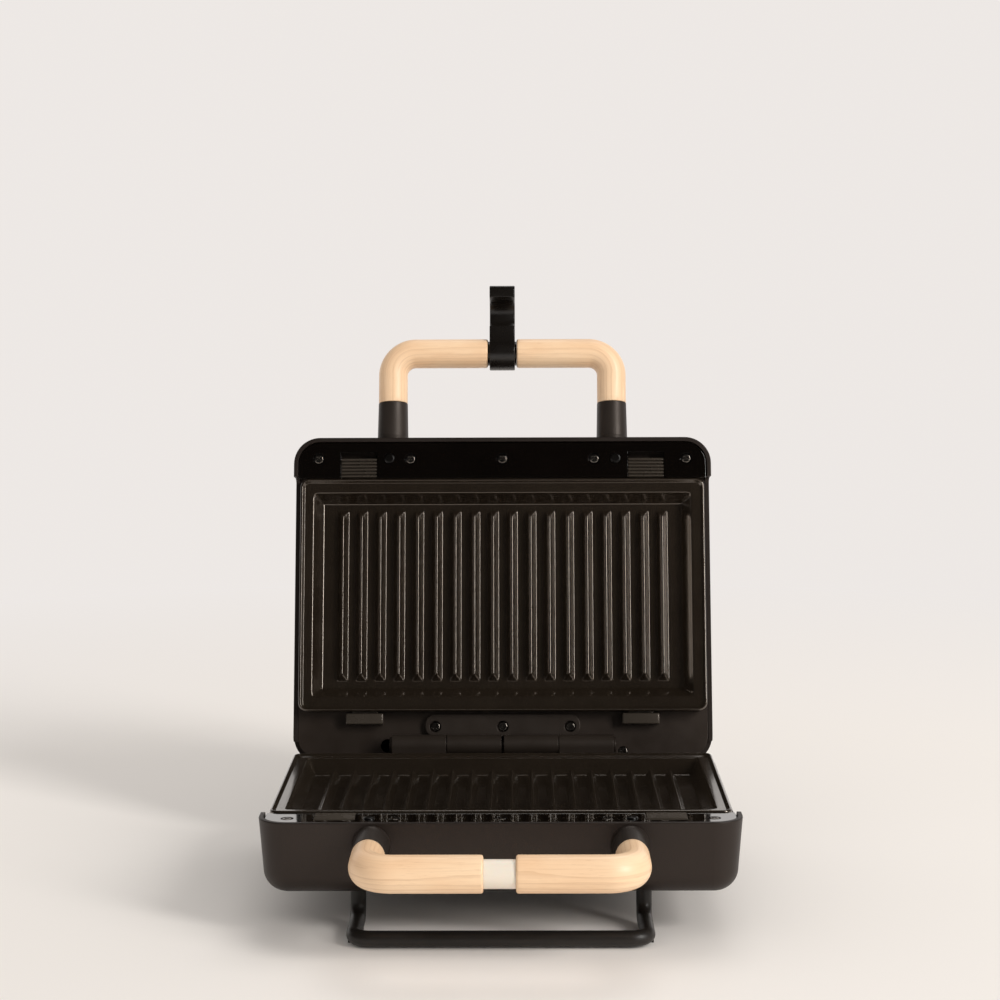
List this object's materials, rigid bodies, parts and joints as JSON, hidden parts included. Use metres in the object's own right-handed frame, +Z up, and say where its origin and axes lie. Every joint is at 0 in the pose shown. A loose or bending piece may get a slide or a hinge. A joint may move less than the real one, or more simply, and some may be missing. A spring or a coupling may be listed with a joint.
{
  "type": "waffle and grill maker",
  "caption": "Hinged two-plate grill and waffle maker with ribbed removable plates, wooden U handles, a flip-over latch clip and bent-rod feet, standing open.",
  "frame": {"origin": "on the table under the middle of the open appliance's overall box", "axes": "+Z up, -Y towards the user in front of the handles, +X to the user's right"},
  "size_m": [0.238, 0.3202, 0.314],
  "materials": {
    "case_plastic": "fine matte texture",
    "bezel_plastic": "glossy",
    "plate_coating": "speckled non-stick coating",
    "clip_plastic": "satin",
    "element_steel": "satin",
    "pan_aluminium": "bright pressed sheet",
    "bumper_rubber": "soft matte",
    "screw_steel": "dark zinc",
    "hinge_metal": "satin black",
    "ferrule_plastic": "fine satin",
    "handle_wood": "pale maple, satin varnish",
    "keeper_plastic": "cream satin",
    "latch_plastic": "satin black",
    "foot_metal": "black powder coat",
    "electrical_plastic": "moulded",
    "lens_plastic": "clear tinted",
    "lamp_glass": "clear"
  },
  "bodies": {
    "base": {"base_shell": "case_plastic", "base_bezel": "bezel_plastic", "base_inner_frame": "bezel_plastic", "lower_plate": "plate_coating", "base_plate_clips": "clip_plastic", "base_heating_element": "element_steel", "base_element_saddles": "element_steel", "base_reflector_pan": "pan_aluminium", "base_bumpers": "bumper_rubber", "base_bezel_screws": "screw_steel", "base_frame_screws": "screw_steel", "base_hinge_leaves": "hinge_metal", "base_hinge_screws": "screw_steel", "hinge_pin": "hinge_metal", "lower_handle_ferrules": "ferrule_plastic", "lower_handle_bolts": "screw_steel", "lower_grip_right": "handle_wood", "lower_grip_left": "handle_wood", "lower_handle_core": "screw_steel", "latch_keeper": "keeper_plastic", "thermostat": "electrical_plastic", "terminal_block": "electrical_plastic", "cord_inlet_bush": "electrical_plastic", "foot_screws": "screw_steel", "front_foot": "foot_metal", "rear_foot": "foot_metal", "foot_pads": "bumper_rubber"},
    "lid": {"lid_shell": "case_plastic", "lid_bezel": "bezel_plastic", "lid_inner_frame": "bezel_plastic", "upper_plate": "plate_coating", "lid_plate_clips": "clip_plastic", "lid_heating_element": "element_steel", "lid_element_saddles": "element_steel", "lid_reflector_pan": "pan_aluminium", "lid_bumpers": "bumper_rubber", "lid_bezel_screws": "screw_steel", "lid_frame_screws": "screw_steel", "lid_hinge_leaf": "hinge_metal", "lid_hinge_screws": "screw_steel", "upper_handle_ferrules": "ferrule_plastic", "upper_handle_bolts": "screw_steel", "upper_grip_right": "handle_wood", "upper_grip_left": "handle_wood", "upper_handle_core": "screw_steel", "latch_neck": "latch_plastic", "thermal_fuse": "electrical_plastic", "lamp_lenses": "lens_plastic", "neon_lamps": "lamp_glass"},
    "latch": {"latch_clip": "latch_plastic"},
    "base_left_slider": {"base_release_left": "clip_plastic"},
    "base_right_slider": {"base_release_right": "clip_plastic"},
    "lid_left_slider": {"lid_release_left": "clip_plastic"},
    "lid_right_slider": {"lid_release_right": "clip_plastic"}
  },
  "joints": [
    {"name": "lid_hinge", "type": "hinge", "parent": "base", "child": "lid", "pos_m": [0, 0.07439, 0.0595], "axis": [1, 0, 0], "range_deg": [0, 105]},
    {"name": "latch_swing", "type": "hinge", "parent": "lid", "child": "latch", "pos_m": [0, 0.14428, 0.27495], "axis": [1, 0, 0], "range_deg": [-90, 90]},
    {"name": "base_release_left_slide", "type": "slide", "parent": "base", "child": "base_left_slider", "axis": [0, -1, 0], "range_m": [0, 0.003], "stiffness_N_per_m": 150, "springref_m": -0.002},
    {"name": "base_release_right_slide", "type": "slide", "parent": "base", "child": "base_right_slider", "axis": [0, -1, 0], "range_m": [0, 0.003], "stiffness_N_per_m": 150, "springref_m": -0.002},
    {"name": "lid_release_left_slide", "type": "slide", "parent": "lid", "child": "lid_left_slider", "axis": [0, 0.2588, 0.9659], "range_m": [0, 0.003], "stiffness_N_per_m": 150, "springref_m": -0.002},
    {"name": "lid_release_right_slide", "type": "slide", "parent": "lid", "child": "lid_right_slider", "axis": [0, 0.2588, 0.9659], "range_m": [0, 0.003], "stiffness_N_per_m": 150, "springref_m": -0.002}
  ]
}
